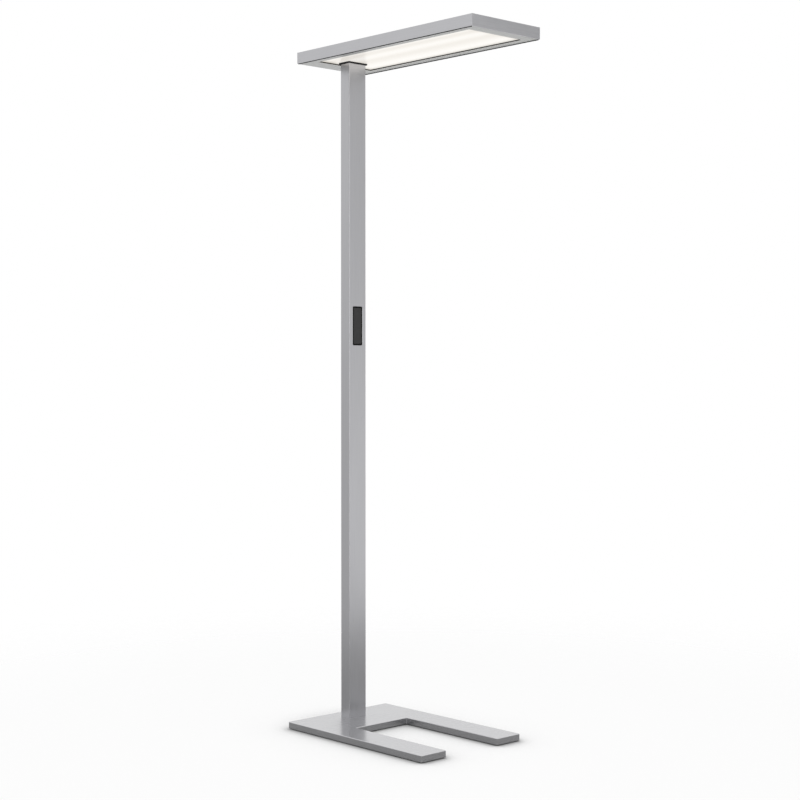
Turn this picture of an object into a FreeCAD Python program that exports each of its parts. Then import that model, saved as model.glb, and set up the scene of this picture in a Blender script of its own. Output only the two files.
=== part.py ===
import FreeCAD, Part
import math
import os
import re

import Sketcher

# Office floor lamp with a fork-shaped foot, a slim column and a flat head that
# reaches forward over the desk and shines both down and up.
# Millimetres. Origin on the floor under the middle of the head, +X forward along
# the fork's prongs, +Y to the lamp's left, +Z up.

doc = FreeCAD.newDocument("OfficeFloorLamp")
sheet = doc.addObject("Spreadsheet::Sheet", "Sizes")

sizes = {
    # whole lamp
    "overall_height": 1950,
    "rear_overhang": 98,
    # foot plate
    "base_length": 555,
    "base_width": 378,
    "plate_thickness": 18,
    "base_rear_margin": 68,
    "bridge_length": 191,
    "prong_width": 91,
    "base_corner_radius": 3,
    "base_edge_chamfer": 1.2,
    # glides under the foot plate
    "glide_diameter": 24,
    "glide_standoff": 2.5,
    "glide_recess": 1.5,
    "glide_inset": 30,
    "glide_rows": 3,
    # column extrusion
    "column_depth": 38,
    "column_width": 64,
    "column_wall": 2.5,
    "cut_overrun": 0.5,
    "column_corner_radius": 2.5,
    "port_block": 7,
    "port_diameter": 4.2,
    # block that ties the column to the foot plate
    "foot_height": 60,
    "foot_clearance": 0.2,
    "foot_bevel": 1.2,
    "base_bolt_diameter": 8,
    "base_bolt_head_diameter": 13,
    "base_bolt_head_height": 8,
    "base_bolt_length": 30,
    "base_bolt_pitch_x": 17,
    "base_bolt_pitch_y": 28,
    "bolt_recess": 1,
    "foot_screw_diameter": 4,
    "foot_screw_head_diameter": 7.6,
    "foot_screw_length": 14,
    "foot_screw_level": 17,
    "foot_screw_pitch": 26,
    # mains inlet in the column's rear
    "inlet_level": 110,
    "inlet_body_width": 27,
    "inlet_body_height": 20,
    "inlet_body_depth": 15,
    "inlet_flange_width": 50,
    "inlet_flange_height": 23,
    "inlet_flange_thickness": 2,
    "inlet_flange_radius": 3,
    "inlet_socket_width": 24.2,
    "inlet_socket_height": 16.6,
    "inlet_socket_depth": 14,
    "inlet_socket_bevel": 5,
    "inlet_fit": 0.2,
    "blade_width": 2,
    "blade_height": 4,
    "blade_spread": 14,
    "blade_drop": 1.5,
    "earth_blade_rise": 4,
    "blade_setback": 2,
    "blade_tail": 5.4,
    "inlet_screw_pitch": 40,
    "inlet_screw_diameter": 3,
    "inlet_screw_head_diameter": 5.5,
    "inlet_screw_length": 7,
    # control unit in the column's front
    "panel_level": 1160.5,
    "panel_width": 35.5,
    "panel_height": 111.5,
    "panel_radius": 3,
    "panel_fit": 0.15,
    "panel_bevel": 0.8,
    "bezel_rim": 3,
    "bezel_depth": 13.5,
    "bezel_barb": 0.8,
    "bezel_barb_length": 2.4,
    "bezel_barb_width": 16,
    "board_depth": 11,
    "board_thickness": 1.6,
    "board_gap": 0.5,
    "board_ledge": 1.5,
    "board_relief": 1,
    "board_relief_height": 88,
    "rocker_gap": 0.5,
    "rocker_recess": 0.4,
    "rocker_thickness": 2.2,
    "rocker_radius": 1.6,
    "rocker_edge_radius": 0.6,
    "pivot_depth": 5,
    "pin_diameter": 2,
    "pin_clearance": 0.05,
    "pin_inset": 0.5,
    "ear_radius": 2.3,
    "ear_thickness": 3,
    "ear_spread": 19,
    "plunger_diameter": 5,
    "plunger_depth": 5.5,
    "plunger_spread": 76,
    "mat_thickness": 1,
    "mat_width": 24,
    "mat_height": 88,
    "dome_diameter": 8,
    "dome_top_diameter": 6,
    "dome_height": 1.2,
    "board_screw_diameter": 2,
    "board_screw_head_diameter": 3.8,
    "board_screw_head_height": 1.3,
    "board_screw_length": 3.6,
    "board_screw_pitch": 97,
    # head rails
    "head_length": 710,
    "head_width": 258,
    "head_height": 32,
    "rail_wall": 2,
    "rail_web": 2,
    "key_chamber_width": 10,
    "ledge_level": 12,
    "ledge_reach": 10,
    "key_leg": 45,
    "key_fit": 0.15,
    # light frame that closes the head's underside
    "shadow_gap": 0.8,
    "frame_sheet": 1,
    "lip_side": 28,
    "lip_front": 38,
    "lip_rear": 60,
    "seal_width": 3.5,
    "seal_height": 3,
    "pane_thickness": 3,
    "pane_bearing": 7,
    # collar round the column where it enters the head
    "collar_flange": 3,
    "collar_neck": 1.5,
    "collar_fit": 0.1,
    # bracket and tray inside the head
    "plate_fit": 0.5,
    "bracket_thickness": 4,
    "bracket_front_reach": 36,
    "spigot_length": 40,
    "spigot_clearance": 0.2,
    "spigot_wall": 4.3,
    "tray_thickness": 2,
    "tray_gap": 0.5,
    "head_screw_diameter": 3,
    "head_screw_head_diameter": 5.6,
    "head_screw_head_height": 1.9,
    "head_screw_tail": 2.5,
    "hole_clearance": 0.4,
    "thread_clearance": 0.1,
    "bracket_screw_inset": 30,
    "bracket_screw_span": 90,
    "bracket_screw_count": 3,
    "tray_screw_rear_inset": 25,
    "tray_screw_front_inset": 40,
    "tray_screw_count": 3,
    "port_screw_diameter": 4.1,
    "port_screw_head_diameter": 8,
    "port_screw_head_height": 3,
    "port_screw_length": 22,
    # light boards
    "down_board_width": 18,
    "down_board_pitch": 70,
    "down_board_front_inset": 44,
    "down_board_rear_inset": 66,
    "down_board_column_gap": 10,
    "up_board_width": 40,
    "up_board_pitch": 124,
    "up_board_inset": 20,
    "light_board_thickness": 1.6,
    "chip_length": 5,
    "chip_width": 5,
    "chip_height": 0.8,
    "chip_margin": 12,
    "chip_count": 24,
    # driver and terminals
    "driver_length": 300,
    "driver_width": 42,
    "driver_height": 12,
    "driver_rear_gap": 30,
    "driver_corner_radius": 2,
    "driver_ear_length": 9,
    "driver_ear_thickness": 1.2,
    "driver_ear_width": 20,
    "driver_screw_diameter": 3,
    "driver_screw_head_diameter": 5.6,
    "driver_screw_head_height": 1.9,
    "terminal_length": 20,
    "terminal_width": 36,
    "terminal_height": 11,
    "terminal_rear_gap": 18,
    "terminal_way_diameter": 5,
    "terminal_way_pitch": 11,
    "terminal_way_depth": 8,
    # top cover
    "cover_thickness": 1.5,
    "cover_fit": 0.3,
    "window_width": 66,
    "window_rear_inset": 145,
    "window_front_inset": 30,
    "up_pane_thickness": 3,
    "up_pane_margin": 6,
    "cover_screw_inset": 75,
    "cover_screw_count": 3,
    "cover_screw_diameter": 3,
    "cover_screw_head_diameter": 5.5,
    "cover_screw_length": 6,
    # leads
    "mains_lead_diameter": 5,
    "mains_lead_bend": 8,
    "mains_lead_gap": 0.2,
    "control_lead_diameter": 3.6,
    "control_lead_bend": 5,
    "control_lead_stub": 2,
    "control_lead_side": 9,
    "control_lead_rise": 30,
    "control_lead_hole": 4.2,
    "lead_run_level": 22,
    "ribbon_width": 6,
    "ribbon_thickness": 0.5,
    "ribbon_inset": 24,
    "ribbon_slot_margin": 1,
}

for row, (alias, value) in enumerate(sizes.items(), start=1):
    sheet.set(f"A{row}", alias)
    sheet.set(f"B{row}", str(value))
    sheet.setAlias(f"B{row}", alias)
doc.recompute()

parts = []
near = 0.01

# places that several pieces share, as formulas over the sheet
column_x = "(rear_overhang - head_length / 2)"
base_top = "(glide_standoff + plate_thickness)"
head_bottom = "(overall_height - head_height)"
ledge_top = "(overall_height - head_height + ledge_level + rail_web)"
web_depth = "(rail_wall + key_chamber_width + rail_web)"
rail_depth = "(rail_wall + key_chamber_width + rail_web + ledge_reach)"
ledge_middle = "(rail_wall + key_chamber_width + rail_web + ledge_reach / 2)"
port_x = "(column_depth / 2 - column_wall - port_block / 2)"
port_y = "(column_width / 2 - column_wall - port_block / 2)"
pane_level = "(frame_sheet + seal_height)"
panel_x = f"({column_x} + column_depth / 2)"
bezel_half_width = "(panel_width / 2 - bezel_rim)"
bezel_half_height = "(panel_height / 2 - bezel_rim)"
bracket_front = f"({column_x} + bracket_front_reach)"
tray_rear = f"({bracket_front} + tray_gap)"
tray_front = "(head_length / 2 - rail_wall - key_chamber_width - rail_web - plate_fit)"
plate_half_width = "(head_width / 2 - rail_wall - key_chamber_width - rail_web - plate_fit)"
driver_rear = f"({tray_rear} + driver_rear_gap)"
ribbon_x = f"({driver_rear} + driver_length - ribbon_inset)"
cover_screw_x = "(cover_screw_inset - head_length / 2)"
cover_screw_span = "(head_length - 2 * cover_screw_inset)"


def size(alias):
    return float(sheet.get(alias))


def linked(formula):
    def link(word):
        return f"Sizes.{word.group()}" if word.group() in sizes else word.group()
    return re.sub(r"[a-z_]+", link, formula)


def bind(target, name, formula):
    target.setExpression(name, linked(formula))


def place(target, x="0", y="0", z="0"):
    for axis, formula in zip("xyz", (x, y, z)):
        bind(target, f"Placement.Base.{axis}", formula)


def turn(target, axis, angle):
    target.Placement = FreeCAD.Placement(FreeCAD.Vector(), FreeCAD.Rotation(axis, angle))


def finish(label, target):
    target.Label = label
    parts.append(target)
    return target


def new_body(label):
    body = doc.addObject("PartDesign::Body", f"{label}_body")
    return finish(label, body)


def new_sketch(body, plane, offset="0"):
    sketch = body.newObject("Sketcher::SketchObject", f"{body.Label}_sketch")
    support = next(item for item in body.Origin.OriginFeatures if item.Role == plane)
    sketch.AttachmentSupport = [(support, "")]
    sketch.MapMode = "FlatFace"
    bind(sketch, "AttachmentOffset.Base.z", offset)
    return sketch


def fix_point(sketch, geometry, point, across, up):
    for kind, formula in (("DistanceX", across), ("DistanceY", up)):
        row = sketch.addConstraint(Sketcher.Constraint(kind, -1, 1, geometry, point, 1.0))
        bind(sketch, f"Constraints[{row}]", formula)


def outline(sketch, corners):
    # a closed outline through the corners, each a pair of formulas
    count = len(corners)
    first = sketch.GeometryCount
    spots = [FreeCAD.Vector(math.cos(i * math.tau / count), math.sin(i * math.tau / count), 0)
             for i in range(count)]
    for i in range(count):
        sketch.addGeometry(Part.LineSegment(spots[i], spots[(i + 1) % count]), False)
    for i in range(count):
        following = first + (i + 1) % count
        sketch.addConstraint(Sketcher.Constraint("Coincident", first + i, 2, following, 1))
    for i, (across, up) in enumerate(corners):
        fix_point(sketch, first + i, 1, across, up)


def rectangle(sketch, left, bottom, right, top):
    outline(sketch, [(left, bottom), (right, bottom), (right, top), (left, top)])


def centred_rectangle(sketch, width, height, across="0", up="0"):
    rectangle(sketch, f"{across} - ({width}) / 2", f"{up} - ({height}) / 2",
              f"{across} + ({width}) / 2", f"{up} + ({height}) / 2")


def circle(sketch, across, up, diameter):
    spot = sketch.addGeometry(Part.Circle(FreeCAD.Vector(1, 1, 0), FreeCAD.Vector(0, 0, 1), 1), False)
    fix_point(sketch, spot, 3, across, up)
    row = sketch.addConstraint(Sketcher.Constraint("Diameter", spot, 2.0))
    bind(sketch, f"Constraints[{row}]", diameter)


def pad(body, sketch, length, sides="One side", back=False):
    feature = body.newObject("PartDesign::Pad", f"{body.Label}_pad")
    feature.Profile = sketch
    feature.SideType = sides
    feature.Reversed = back
    bind(feature, "Length", length)
    sketch.Visibility = False
    return feature


def cut(body, sketch, length=None, back=False):
    # a pocket to a depth, or through the whole body both ways
    feature = body.newObject("PartDesign::Pocket", f"{body.Label}_pocket")
    feature.Profile = sketch
    feature.Reversed = back
    if length is None:
        feature.Type = "ThroughAll"
        feature.SideType = "Symmetric"
    else:
        bind(feature, "Length", length)
    return feature


def repeat(body, feature, sketch, across_span, across_count, up_span="0", up_count="1"):
    pattern = body.newObject("PartDesign::LinearPattern", f"{body.Label}_pattern")
    pattern.Originals = [feature]
    pattern.Direction = (sketch, ["H_Axis"])
    pattern.Direction2 = (sketch, ["V_Axis"])
    bind(pattern, "Length", across_span)
    bind(pattern, "Occurrences", across_count)
    bind(pattern, "Length2", up_span)
    bind(pattern, "Occurrences2", up_count)
    body.Tip = pattern
    return pattern


def edges_of(feature, wanted):
    doc.recompute()
    return [f"Edge{number}" for number, edge in enumerate(feature.Shape.Edges, start=1) if wanted(edge)]


def runs_along(edge, axis):
    line = edge.Curve
    return line.TypeId == "Part::GeomLine" and abs(line.Direction.dot(axis)) > 0.999


def round_edges(body, feature, wanted, radius):
    fillet = body.newObject("PartDesign::Fillet", f"{body.Label}_fillet")
    fillet.Base = (feature, edges_of(feature, wanted))
    bind(fillet, "Radius", radius)
    return fillet


def bevel_edges(body, feature, wanted, amount):
    chamfer = body.newObject("PartDesign::Chamfer", f"{body.Label}_chamfer")
    chamfer.Base = (feature, edges_of(feature, wanted))
    bind(chamfer, "Size", amount)
    return chamfer


def block(name, length, width, height, x, y, z):
    # a plain box by its middle in X and Y and its lower face in Z
    box = doc.addObject("Part::Box", name)
    bind(box, "Length", length)
    bind(box, "Width", width)
    bind(box, "Height", height)
    place(box, f"{x} - ({length}) / 2", f"{y} - ({width}) / 2", z)
    return box


def spanned(name, rear, front, half_width, low, high):
    # a box between two places along X, even about the lamp's middle plane
    box = doc.addObject("Part::Box", name)
    bind(box, "Length", f"({front}) - ({rear})")
    bind(box, "Width", f"2 * ({half_width})")
    bind(box, "Height", f"({high}) - ({low})")
    place(box, rear, f"-({half_width})", low)
    return box


def less(label, base, *tools):
    result = base
    for tool in tools:
        step = doc.addObject("Part::Cut", f"{label}_cut")
        step.Base = result
        step.Tool = tool
        result = step
    return result


def fused(label, *members):
    union = doc.addObject("Part::MultiFuse", f"{label}_union")
    union.Shapes = list(members)
    return union


# the foot plate, its glides and the block inside the column


def make_base_plate():
    body = new_body("base_plate")
    place(body, f"{column_x} - base_rear_margin", "0", "glide_standoff")
    half = "base_width / 2"
    notch = "(base_width / 2 - prong_width)"
    plan = new_sketch(body, "XY_Plane")
    outline(plan, [
        ("0", f"-{half}"), ("base_length", f"-{half}"),
        ("base_length", f"-{notch}"), ("bridge_length", f"-{notch}"),
        ("bridge_length", notch), ("base_length", notch),
        ("base_length", half), ("0", half),
    ])
    plate = pad(body, plan, "plate_thickness")
    upright = FreeCAD.Vector(0, 0, 1)
    rounded = round_edges(body, plate, lambda edge: runs_along(edge, upright), "base_corner_radius")
    thickness = size("plate_thickness")
    bevelled = bevel_edges(body, rounded, lambda edge: edge.BoundBox.ZMin > thickness - near,
                           "base_edge_chamfer")
    body.Tip = bevelled

    seats = new_sketch(body, "XY_Plane")
    circle(seats, "glide_inset", "-(base_width - prong_width) / 2", "glide_diameter")
    seat = cut(body, seats, "glide_recess", back=True)
    repeat(body, seat, seats, "base_length - 2 * glide_inset", "glide_rows",
           "base_width - prong_width", "2")

    bolt_x = "base_rear_margin - base_bolt_pitch_x / 2"
    shanks = new_sketch(body, "XY_Plane")
    circle(shanks, bolt_x, "-base_bolt_pitch_y / 2", "base_bolt_diameter + hole_clearance")
    shank = cut(body, shanks)
    repeat(body, shank, shanks, "base_bolt_pitch_x", "2", "base_bolt_pitch_y", "2")
    heads = new_sketch(body, "XY_Plane")
    circle(heads, bolt_x, "-base_bolt_pitch_y / 2", "base_bolt_head_diameter + hole_clearance")
    head = cut(body, heads, "base_bolt_head_height + bolt_recess", back=True)
    repeat(body, head, heads, "base_bolt_pitch_x", "2", "base_bolt_pitch_y", "2")


def make_base_glides():
    body = new_body("base_glides")
    body.AllowCompound = True
    place(body, f"{column_x} - base_rear_margin", "0", "0")
    plan = new_sketch(body, "XY_Plane")
    circle(plan, "glide_inset", "-(base_width - prong_width) / 2", "glide_diameter")
    disc = pad(body, plan, "glide_standoff + glide_recess")
    repeat(body, disc, plan, "base_length - 2 * glide_inset", "glide_rows",
           "base_width - prong_width", "2")


def make_column_foot():
    body = new_body("column_foot")
    place(body, column_x, "0", base_top)
    plan = new_sketch(body, "XY_Plane")
    centred_rectangle(plan, "column_depth - 2 * column_wall - 2 * foot_clearance",
                      "column_width - 2 * column_wall - 2 * port_block - 2 * foot_clearance")
    core = pad(body, plan, "foot_height")
    top = size("foot_height")
    body.Tip = bevel_edges(body, core, lambda edge: edge.BoundBox.ZMin > top - near, "foot_bevel")
    bolts = new_sketch(body, "XY_Plane")
    circle(bolts, "-base_bolt_pitch_x / 2", "-base_bolt_pitch_y / 2",
           "base_bolt_diameter + thread_clearance")
    bore = cut(body, bolts, "base_bolt_length - base_bolt_head_height", back=True)
    repeat(body, bore, bolts, "base_bolt_pitch_x", "2", "base_bolt_pitch_y", "2")
    rear = new_sketch(body, "YZ_Plane", "-column_depth / 2")
    circle(rear, "0", "foot_screw_level", "foot_screw_diameter + thread_clearance")
    tapped = cut(body, rear, "foot_screw_length + thread_clearance", back=True)
    repeat(body, tapped, rear, "0", "1", "foot_screw_pitch", "2")


# the column and its mains inlet


def make_column_profile():
    body = new_body("column_profile")
    place(body, column_x, "0", base_top)
    section = new_sketch(body, "XY_Plane")
    centred_rectangle(section, "column_depth", "column_width")
    across = "(column_depth / 2 - column_wall)"
    along = "(column_width / 2 - column_wall)"
    inner_across = "(column_depth / 2 - column_wall - port_block)"
    inner_along = "(column_width / 2 - column_wall - port_block)"
    outline(section, [
        (f"-{across}", f"-{inner_along}"), (f"-{inner_across}", f"-{inner_along}"),
        (f"-{inner_across}", f"-{along}"), (inner_across, f"-{along}"),
        (inner_across, f"-{inner_along}"), (across, f"-{inner_along}"),
        (across, inner_along), (inner_across, inner_along),
        (inner_across, along), (f"-{inner_across}", along),
        (f"-{inner_across}", inner_along), (f"-{across}", inner_along),
    ])
    for x_side in ("-", ""):
        for y_side in ("-", ""):
            circle(section, x_side + port_x, y_side + port_y, "port_diameter")
    tube = pad(body, section, f"{ledge_top} - {base_top}")
    reach = size("column_depth") / 2 + size("column_width") / 2 - near
    upright = FreeCAD.Vector(0, 0, 1)

    def outer_corner(edge):
        spot = edge.BoundBox.Center
        return runs_along(edge, upright) and abs(spot.x) + abs(spot.y) > reach
    round_edges(body, tube, outer_corner, "column_corner_radius")

    front = new_sketch(body, "YZ_Plane", "column_depth / 2")
    centred_rectangle(front, "panel_width + 2 * panel_fit", "panel_height + 2 * panel_fit",
                      "0", f"(panel_level - {base_top})")
    window = cut(body, front, "column_wall + cut_overrun")
    middle = size("panel_level") - size("glide_standoff") - size("plate_thickness")
    half_height = size("panel_height") / 2 + size("panel_fit")

    def window_corner(edge):
        spot = edge.BoundBox.Center
        at_corner = abs(abs(spot.z - middle) - half_height) < near
        return runs_along(edge, FreeCAD.Vector(1, 0, 0)) and spot.x > 0 and at_corner
    window = round_edges(body, window, window_corner, "panel_radius + panel_fit")
    face = size("column_depth") / 2
    half_width = size("panel_width") / 2 + size("panel_fit")

    def window_rim(edge):
        box = edge.BoundBox
        in_window = abs(box.Center.y) < half_width + near and abs(box.Center.z - middle) < half_height + near
        return box.XMin > face - near and in_window
    body.Tip = bevel_edges(body, window, window_rim, "panel_bevel")

    socket = new_sketch(body, "YZ_Plane", "-column_depth / 2")
    centred_rectangle(socket, "inlet_body_width + 2 * inlet_fit", "inlet_body_height + 2 * inlet_fit",
                      "0", f"(inlet_level - {base_top})")
    cut(body, socket, "column_wall + cut_overrun", back=True)
    pilot = new_sketch(body, "YZ_Plane", "-column_depth / 2")
    circle(pilot, "-inlet_screw_pitch / 2", f"inlet_level - {base_top}",
           "inlet_screw_diameter + thread_clearance")
    pilot_hole = cut(body, pilot, "column_wall + cut_overrun", back=True)
    repeat(body, pilot_hole, pilot, "inlet_screw_pitch", "2")
    clamp = new_sketch(body, "YZ_Plane", "-column_depth / 2")
    circle(clamp, "0", "foot_screw_level", "foot_screw_diameter + hole_clearance")
    clamp_hole = cut(body, clamp, "column_wall + cut_overrun", back=True)
    clamp_holes = repeat(body, clamp_hole, clamp, "0", "1", "foot_screw_pitch", "2")
    rear_face = -size("column_depth") / 2
    top_screw = size("foot_screw_level") + size("foot_screw_pitch") + size("foot_screw_diameter")

    def clamp_rim(edge):
        round_rim = edge.Curve.TypeId == "Part::GeomCircle"
        return round_rim and edge.BoundBox.XMax < rear_face + near and edge.BoundBox.ZMax < top_screw
    body.Tip = bevel_edges(body, clamp_holes, clamp_rim,
                           "(foot_screw_head_diameter - foot_screw_diameter - hole_clearance) / 2")


def make_mains_inlet():
    body = new_body("mains_inlet")
    place(body, column_x, "0", "inlet_level")
    rear = "-column_depth / 2"
    face = "-column_depth / 2 - inlet_flange_thickness"
    plate = new_sketch(body, "YZ_Plane", rear)
    centred_rectangle(plate, "inlet_flange_width", "inlet_flange_height")
    flange = pad(body, plate, "inlet_flange_thickness", back=True)
    flange = round_edges(body, flange, lambda edge: runs_along(edge, FreeCAD.Vector(1, 0, 0)),
                         "inlet_flange_radius")
    shell = new_sketch(body, "YZ_Plane", rear)
    centred_rectangle(shell, "inlet_body_width", "inlet_body_height")
    pad(body, shell, "inlet_body_depth")
    half_width = "inlet_socket_width / 2"
    half_height = "inlet_socket_height / 2"
    mouth = new_sketch(body, "YZ_Plane", face)
    outline(mouth, [
        (f"-{half_width}", f"-{half_height}"), (half_width, f"-{half_height}"),
        (half_width, f"{half_height} - inlet_socket_bevel"),
        (f"{half_width} - inlet_socket_bevel", half_height),
        (f"-{half_width} + inlet_socket_bevel", half_height),
        (f"-{half_width}", f"{half_height} - inlet_socket_bevel"),
    ])
    cut(body, mouth, "inlet_socket_depth", back=True)
    slots = new_sketch(body, "YZ_Plane", "inlet_body_depth - column_depth / 2")
    for across, up in blade_spots():
        centred_rectangle(slots, "blade_width", "blade_height", across, up)
    cut(body, slots, "inlet_body_depth + inlet_flange_thickness - inlet_socket_depth + cut_overrun")
    ears = new_sketch(body, "YZ_Plane", face)
    circle(ears, "-inlet_screw_pitch / 2", "0", "inlet_screw_diameter + hole_clearance")
    ear = cut(body, ears, "inlet_flange_thickness + cut_overrun", back=True)
    ear_holes = repeat(body, ear, ears, "inlet_screw_pitch", "2")
    outer = -size("column_depth") / 2 - size("inlet_flange_thickness")

    def ear_rim(edge):
        return edge.Curve.TypeId == "Part::GeomCircle" and edge.BoundBox.XMax < outer + near \
            and edge.Curve.Radius < size("inlet_screw_diameter")
    body.Tip = bevel_edges(body, ear_holes, ear_rim,
                           "(inlet_screw_head_diameter - inlet_screw_diameter - hole_clearance) / 2")


def blade_spots():
    earth = ("0", "(earth_blade_rise - blade_drop)")
    return [("(-blade_spread / 2)", "(-blade_drop)"), ("(blade_spread / 2)", "(-blade_drop)"), earth]


def make_inlet_blades():
    body = new_body("inlet_blades")
    body.AllowCompound = True
    place(body, column_x, "0", "inlet_level")
    front = new_sketch(body, "YZ_Plane",
                       "-column_depth / 2 - inlet_flange_thickness + blade_setback")
    for across, up in blade_spots():
        centred_rectangle(front, "blade_width", "blade_height", across, up)
    pad(body, front, "inlet_body_depth + inlet_flange_thickness - blade_setback + blade_tail")


# the rocker dimmer and what stands behind it


def make_control_bezel():
    body = new_body("control_bezel")
    place(body, panel_x, "0", "panel_level")
    face = new_sketch(body, "YZ_Plane")
    centred_rectangle(face, "panel_width", "panel_height")
    core = pad(body, face, "bezel_depth", back=True)
    rounded = round_edges(body, core, lambda edge: runs_along(edge, FreeCAD.Vector(1, 0, 0)),
                          "panel_radius")
    body.Tip = rounded
    # snap barbs behind the column's front wall, top and bottom
    barbs = new_sketch(body, "XZ_Plane")
    start = "-column_wall - panel_fit"
    for side in ("", "-"):
        root = f"{side}(panel_height / 2 - bezel_rim / 2)"
        tip = f"{side}(panel_height / 2 + bezel_barb)"
        foot = f"{side}(panel_height / 2)"
        outline(barbs, [(start, root), (start, tip),
                        (f"{start} - bezel_barb_length", foot), (f"{start} - bezel_barb_length", root)])
    pad(body, barbs, "bezel_barb_width", sides="Symmetric")
    well = new_sketch(body, "YZ_Plane")
    centred_rectangle(well, f"2 * {bezel_half_width}", f"2 * {bezel_half_height}")
    cut(body, well, "board_depth")
    relief = new_sketch(body, "YZ_Plane", "-board_depth")
    centred_rectangle(relief, f"2 * {bezel_half_width} - 2 * board_ledge", "board_relief_height")
    cut(body, relief, "board_relief")
    outlet = new_sketch(body, "YZ_Plane", "-board_depth")
    circle(outlet, "control_lead_side", "control_lead_rise", "control_lead_hole")
    cut(body, outlet, "bezel_depth")
    screws = new_sketch(body, "YZ_Plane", "-board_depth")
    circle(screws, "0", "-board_screw_pitch / 2", "board_screw_diameter + thread_clearance")
    screw = cut(body, screws, "board_screw_length - board_thickness + thread_clearance")
    repeat(body, screw, screws, "0", "1", "board_screw_pitch", "2")
    pivot = new_sketch(body, "XZ_Plane")
    circle(pivot, "-pivot_depth", "0", "pin_diameter")
    body.Tip = cut(body, pivot)


def make_dimmer_rocker():
    body = new_body("dimmer_rocker")
    place(body, panel_x, "0", "panel_level")
    face = new_sketch(body, "YZ_Plane", "-rocker_recess")
    centred_rectangle(face, f"2 * ({bezel_half_width} - rocker_gap)",
                      f"2 * ({bezel_half_height} - rocker_gap)")
    key = pad(body, face, "rocker_thickness", back=True)
    key = round_edges(body, key, lambda edge: runs_along(edge, FreeCAD.Vector(1, 0, 0)), "rocker_radius")
    front = -size("rocker_recess")
    body.Tip = round_edges(body, key, lambda edge: edge.BoundBox.XMin > front - near,
                           "rocker_edge_radius")
    back = "-rocker_recess - rocker_thickness"
    plungers = new_sketch(body, "YZ_Plane", back)
    for side in ("", "-"):
        circle(plungers, "0", f"{side}(plunger_spread / 2)", "plunger_diameter")
    pad(body, plungers, "plunger_depth - rocker_recess - rocker_thickness", back=True)
    # two ears round the pivot pin
    for side in ("-", ""):
        middle = f"{side}(ear_spread / 2)"
        web = new_sketch(body, "XZ_Plane", f"{middle} + ear_thickness / 2")
        rectangle(web, "-pivot_depth", "-ear_radius", f"{back} + rocker_thickness / 2", "ear_radius")
        pad(body, web, "ear_thickness", back=True)
        nose = new_sketch(body, "XZ_Plane", f"{middle} + ear_thickness / 2")
        circle(nose, "-pivot_depth", "0", "2 * ear_radius")
        pad(body, nose, "ear_thickness", back=True)
    pivot = new_sketch(body, "XZ_Plane")
    circle(pivot, "-pivot_depth", "0", "pin_diameter + 2 * pin_clearance")
    body.Tip = cut(body, pivot)


def make_rocker_pin():
    pin = doc.addObject("Part::Cylinder", "rocker_pin_rod")
    bind(pin, "Radius", "pin_diameter / 2")
    bind(pin, "Height", "panel_width - 2 * pin_inset")
    turn(pin, FreeCAD.Vector(1, 0, 0), 90)
    place(pin, f"{panel_x} - pivot_depth", "panel_width / 2 - pin_inset", "panel_level")
    finish("rocker_pin", pin)


def make_control_board():
    body = new_body("control_board")
    place(body, f"{panel_x} - board_depth", "0", "panel_level")
    face = new_sketch(body, "YZ_Plane")
    centred_rectangle(face, f"2 * ({bezel_half_width} - board_gap)",
                      f"2 * ({bezel_half_height} - board_gap)")
    pad(body, face, "board_thickness")
    screws = new_sketch(body, "YZ_Plane", "board_thickness")
    circle(screws, "0", "-board_screw_pitch / 2", "board_screw_diameter + hole_clearance")
    hole = cut(body, screws)
    repeat(body, hole, screws, "0", "1", "board_screw_pitch", "2")


def make_switch_mat():
    body = new_body("switch_mat")
    place(body, f"{panel_x} - board_depth + board_thickness", "0", "panel_level")
    face = new_sketch(body, "YZ_Plane")
    centred_rectangle(face, "mat_width", "mat_height")
    pad(body, face, "mat_thickness")
    # a soft dome under each end of the rocker
    for side in ("-", ""):
        foot = new_sketch(body, "YZ_Plane", "mat_thickness")
        circle(foot, "0", f"{side}(plunger_spread / 2)", "dome_diameter")
        crown = new_sketch(body, "YZ_Plane", "mat_thickness + dome_height")
        circle(crown, "0", f"{side}(plunger_spread / 2)", "dome_top_diameter")
        dome = body.newObject("PartDesign::AdditiveLoft", "switch_mat_dome")
        dome.Profile = foot
        dome.Sections = [crown]
        dome.Ruled = True
        body.Tip = dome


# the head


def make_rail(label, length, x, y, angle):
    # mitred extrusion: outer skirt, closed key chamber, inner ledge
    body = new_body(label)
    turn(body, FreeCAD.Vector(0, 0, 1), angle)
    place(body, x, y, head_bottom)
    section = new_sketch(body, "YZ_Plane")
    seat = "head_height - cover_thickness"
    ledge = "ledge_level + rail_web"
    outline(section, [
        ("0", "0"), ("rail_wall", "0"), ("rail_wall", "ledge_level"), (rail_depth, "ledge_level"),
        (rail_depth, ledge), (web_depth, ledge), (web_depth, seat), ("rail_wall", seat),
        ("rail_wall", "head_height"), ("0", "head_height"),
    ])
    rectangle(section, "rail_wall", ledge, "rail_wall + key_chamber_width", f"{seat} - rail_web")
    pad(body, section, length, sides="Symmetric")
    mitres = new_sketch(body, "XY_Plane")
    for side in ("-", ""):
        end = f"{side}(({length}) / 2)"
        inner = f"{side}(({length}) / 2 - {rail_depth})"
        outline(mitres, [(end, "0"), (inner, rail_depth), (end, rail_depth)])
    cut(body, mitres)
    return body


def drill_ledge(body, first, span, count):
    # a row of screw holes down the middle of a rail's ledge
    spots = new_sketch(body, "XY_Plane")
    circle(spots, first, ledge_middle, "head_screw_diameter + hole_clearance")
    hole = cut(body, spots)
    repeat(body, hole, spots, span, count)


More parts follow.
